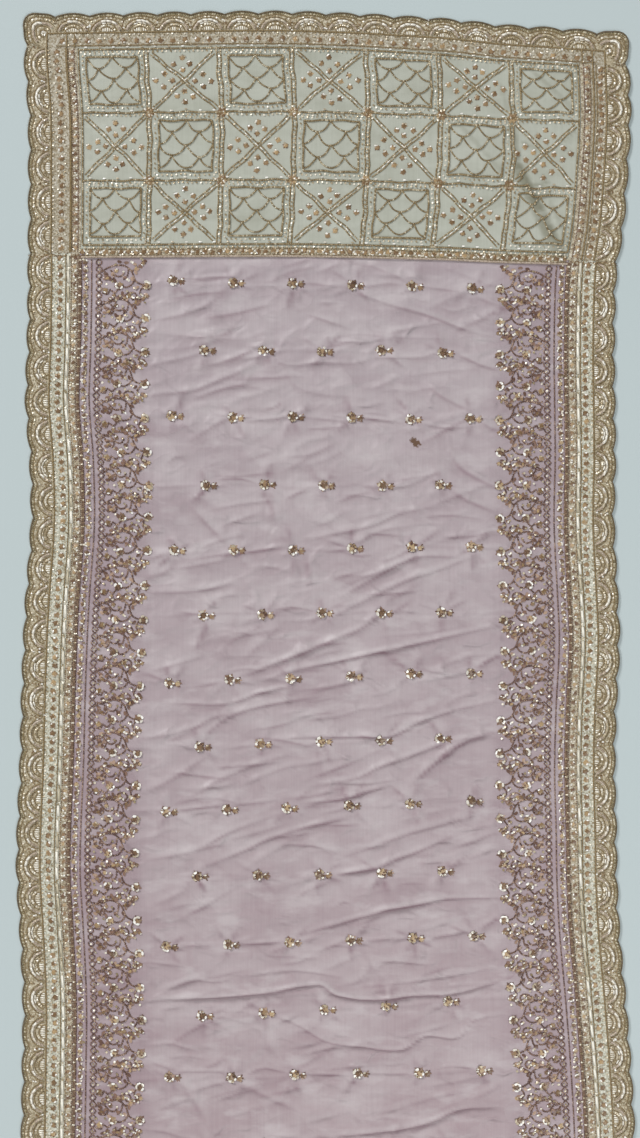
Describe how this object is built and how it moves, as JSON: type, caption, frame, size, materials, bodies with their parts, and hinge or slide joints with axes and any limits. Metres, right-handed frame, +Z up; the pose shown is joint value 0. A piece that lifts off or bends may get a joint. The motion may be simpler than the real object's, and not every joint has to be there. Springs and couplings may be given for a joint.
{
  "type": "net saree",
  "caption": "Net saree laid out flat: sprigged mauve net body, cream pallu worked in squares, scalloped zari lace round its edges.",
  "frame": {"origin": "centre of the bounding box, on the surface that the cloth rests on", "axes": "+X across the cloth, +Y along it towards the pallu end, +Z up off the surface"},
  "size_m": [1.1785, 5.5, 0.0067],
  "materials": {
    "mauve_net": "sheer soft net, dull sheen",
    "pallu_net": "close cream net, dull sheen",
    "zari_lace": "metallic zari thread, sequins and bugle beads",
    "seam_braid": "beaded zari braid",
    "edging_cord": "twisted bronze cord"
  },
  "bodies": {
    "root": {"net_body": "mauve_net", "pallu_panel": "pallu_net", "body_lace_left": "zari_lace", "body_lace_right": "zari_lace", "pallu_lace_left": "zari_lace", "pallu_lace_right": "zari_lace", "pallu_lace_top": "zari_lace", "pallu_seam_braid": "seam_braid", "edging_cord_left": "edging_cord", "edging_cord_right": "edging_cord"}
  },
  "joints": []
}
